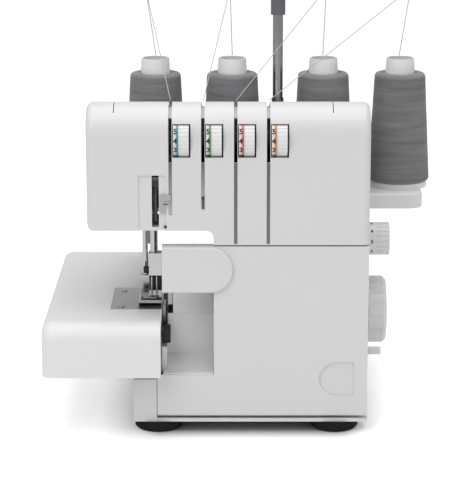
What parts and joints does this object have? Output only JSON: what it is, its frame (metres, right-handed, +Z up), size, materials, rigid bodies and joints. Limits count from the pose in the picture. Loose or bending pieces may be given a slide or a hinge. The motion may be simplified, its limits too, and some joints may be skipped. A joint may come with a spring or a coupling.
{
  "type": "overlock sewing machine",
  "caption": "Household overlock sewing machine with front tension dials, looper cover, needle and presser bars, side handwheel and a telescopic stand holding thread cones.",
  "frame": {"origin": "on the table under the middle of the whole machine with its thread stand", "axes": "+Z up, -Y towards the user, +X to the handwheel side"},
  "size_m": [0.354, 0.265, 0.376],
  "materials": {
    "white_plastic": "gloss moulded",
    "grey_plastic": "satin moulded",
    "black_plastic": "satin moulded",
    "black_rubber": "matt",
    "cast_alloy": "as cast",
    "steel": "ground",
    "chrome": "polished",
    "bronze": "turned",
    "thread": "wound polyester thread",
    "core_plastic": "pale translucent"
  },
  "bodies": {
    "machine": {"base_pan": "white_plastic", "foot_pads": "black_rubber", "upper_cover": "white_plastic", "rear_cover": "white_plastic", "right_side_cover": "white_plastic", "cloth_plate": "white_plastic", "free_arm": "cast_alloy", "needle_plate": "steel", "waste_chute": "grey_plastic", "main_frame": "cast_alloy", "shaft_bushes": "bronze", "motor": "cast_alloy", "drive_belt": "black_rubber", "lever_bracket": "grey_plastic", "tension_spindle": "chrome", "tension_discs": "steel", "head_thread_guide": "steel", "take_up_guide": "black_plastic", "top_thread_guides": "steel", "switch_bezel": "grey_plastic", "power_inlet": "black_plastic", "stand_post": "white_plastic", "spool_tray": "white_plastic", "cone_seats": "grey_plastic", "spool_pins": "black_plastic", "cone_cores": "core_plastic", "thread_cones": "thread", "mast_outer_tube": "chrome", "fixing_screws": "steel", "threads_up": "thread", "threads_down": "thread"},
    "cover_rod": {"looper_cover_rod": "steel"},
    "looper_cover": {"looper_cover": "white_plastic"},
    "drive_shaft": {"main_shaft": "steel", "shaft_pulley": "grey_plastic", "handwheel": "white_plastic"},
    "motor_rotor": {"motor_pulley": "steel"},
    "needle_bar": {"needle_bar": "chrome", "needle_clamp": "steel", "needles": "chrome", "needle_clamp_screws": "black_plastic"},
    "presser": {"presser_bar": "chrome", "presser_ankle": "steel", "presser_foot": "steel"},
    "presser_lever": {"presser_lever": "grey_plastic"},
    "stitch_length_dial": {"stitch_length_dial": "white_plastic"},
    "differential_feed_lever": {"differential_feed_lever": "grey_plastic"},
    "power_switch": {"power_switch": "black_plastic"},
    "cutting_width_knob": {"cutting_width_knob": "black_plastic"},
    "lower_knife": {"lower_knife": "steel"},
    "upper_knife": {"upper_knife_arm": "steel"},
    "upper_looper": {"upper_looper": "steel"},
    "lower_looper": {"lower_looper": "steel"},
    "feed_dog": {"feed_dog": "steel"},
    "mast": {"mast_inner_tube": "chrome", "thread_guide_bar": "grey_plastic"},
    "tension_dial_1": {"tension_dial_1": "white_plastic"},
    "tension_dial_2": {"tension_dial_2": "white_plastic"},
    "tension_dial_3": {"tension_dial_3": "white_plastic"},
    "tension_dial_4": {"tension_dial_4": "white_plastic"}
  },
  "joints": [
    {"name": "cover_slide", "type": "slide", "parent": "machine", "child": "cover_rod", "axis": [1, 0, 0], "range_m": [0, 0.008]},
    {"name": "cover_hinge", "type": "hinge", "parent": "cover_rod", "child": "looper_cover", "pos_m": [-0.074, -0.102, 0.0185], "axis": [1, 0, 0], "range_deg": [0, 80]},
    {"name": "handwheel_turn", "type": "hinge", "parent": "machine", "child": "drive_shaft", "pos_m": [0.109, -0.0275, 0.091], "axis": [1, 0, 0], "continuous": true},
    {"name": "motor_turn", "type": "hinge", "parent": "machine", "child": "motor_rotor", "pos_m": [0.08, 0.0845, 0.044], "axis": [1, 0, 0], "continuous": true},
    {"name": "needle_stroke", "type": "slide", "parent": "machine", "child": "needle_bar", "axis": [0, 0, 1], "range_m": [-0.008, 0.014]},
    {"name": "presser_lift", "type": "slide", "parent": "machine", "child": "presser", "axis": [0, 0, 1], "range_m": [0, 0.005]},
    {"name": "presser_lever_turn", "type": "hinge", "parent": "machine", "child": "presser_lever", "pos_m": [-0.0895, -0.0115, 0.175], "axis": [1, 0, 0], "range_deg": [0, 40]},
    {"name": "stitch_length_turn", "type": "hinge", "parent": "machine", "child": "stitch_length_dial", "pos_m": [0.109, -0.0475, 0.162], "axis": [1, 0, 0], "range_deg": [-135, 135]},
    {"name": "differential_feed_turn", "type": "hinge", "parent": "machine", "child": "differential_feed_lever", "pos_m": [0.103, -0.0775, 0.09], "axis": [1, 0, 0], "range_deg": [-18, 18]},
    {"name": "power_switch_rock", "type": "hinge", "parent": "machine", "child": "power_switch", "pos_m": [0.101, 0.0685, 0.078], "axis": [0, 1, 0], "range_deg": [-6, 6]},
    {"name": "cutting_width_turn", "type": "hinge", "parent": "machine", "child": "cutting_width_knob", "pos_m": [-0.069, -0.0855, 0.084], "axis": [1, 0, 0], "range_deg": [0, 270]},
    {"name": "lower_knife_shift", "type": "slide", "parent": "machine", "child": "lower_knife", "axis": [1, 0, 0], "range_m": [0, 0.0015]},
    {"name": "upper_knife_rock", "type": "hinge", "parent": "machine", "child": "upper_knife", "pos_m": [-0.06, -0.0215, 0.062], "axis": [1, 0, 0], "range_deg": [-4, 4]},
    {"name": "upper_looper_rock", "type": "hinge", "parent": "machine", "child": "upper_looper", "pos_m": [-0.006, -0.0115, 0.072], "axis": [0, 1, 0], "range_deg": [-6, 6]},
    {"name": "lower_looper_rock", "type": "hinge", "parent": "machine", "child": "lower_looper", "pos_m": [-0.018, -0.0115, 0.042], "axis": [0, 1, 0], "range_deg": [-6, 6]},
    {"name": "feed_lift", "type": "slide", "parent": "machine", "child": "feed_dog", "axis": [0, 0, 1], "range_m": [-0.003, 0.0006]},
    {"name": "mast_slide", "type": "slide", "parent": "machine", "child": "mast", "axis": [0, 0, 1], "range_m": [-0.055, 0], "deforming": ["threads_up", "threads_down"]},
    {"name": "tension_dial_1_turn", "type": "hinge", "parent": "machine", "child": "tension_dial_1", "pos_m": [-0.0544, -0.094, 0.2627], "axis": [1, 0, 0], "range_deg": [-150, 150]},
    {"name": "tension_dial_2_turn", "type": "hinge", "parent": "machine", "child": "tension_dial_2", "pos_m": [-0.0261, -0.094, 0.2627], "axis": [1, 0, 0], "range_deg": [-150, 150]},
    {"name": "tension_dial_3_turn", "type": "hinge", "parent": "machine", "child": "tension_dial_3", "pos_m": [0.0022, -0.094, 0.2627], "axis": [1, 0, 0], "range_deg": [-150, 150]},
    {"name": "tension_dial_4_turn", "type": "hinge", "parent": "machine", "child": "tension_dial_4", "pos_m": [0.0305, -0.094, 0.2627], "axis": [1, 0, 0], "range_deg": [-150, 150]}
  ],
  "couplings": [
    {"joint": "motor_turn", "follows": "handwheel_turn", "ratio": 3},
    {"joint": "lower_knife_shift", "follows": "cutting_width_turn", "m_per_rad": 0.0003183},
    {"joint": "presser_lever_turn", "follows": "presser_lift", "rad_per_m": 139.63}
  ]
}
